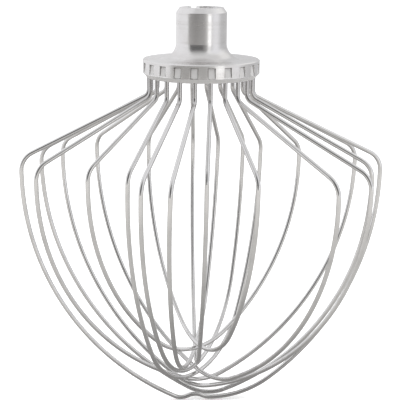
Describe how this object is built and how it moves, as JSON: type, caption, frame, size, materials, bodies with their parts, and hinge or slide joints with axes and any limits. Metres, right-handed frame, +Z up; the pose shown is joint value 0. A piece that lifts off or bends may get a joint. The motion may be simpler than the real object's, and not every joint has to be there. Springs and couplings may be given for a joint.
{
  "type": "stand mixer wire whisk",
  "caption": "Balloon whisk of bent steel wire loops staked into a turned steel hub with a bayonet drive socket, for whipping cream and egg white in a stand mixer.",
  "frame": {"origin": "centre of the drive bore at its mouth, on top of the hub", "axes": "+Z up along the drive axis and out of the bore, away from the wire cage; -Y is the side the picture shows"},
  "size_m": [0.1638, 0.1132, 0.1842],
  "materials": {
    "hub_steel": "satin, turned",
    "wire_steel": "polished wire"
  },
  "bodies": {
    "root": {"hub": "hub_steel", "wire_loop_01": "wire_steel", "wire_loop_02": "wire_steel", "wire_loop_03": "wire_steel", "wire_loop_04": "wire_steel", "wire_loop_05": "wire_steel", "wire_loop_06": "wire_steel", "wire_loop_07": "wire_steel", "wire_loop_08": "wire_steel", "wire_loop_09": "wire_steel", "wire_loop_10": "wire_steel", "wire_loop_11": "wire_steel"}
  },
  "joints": []
}
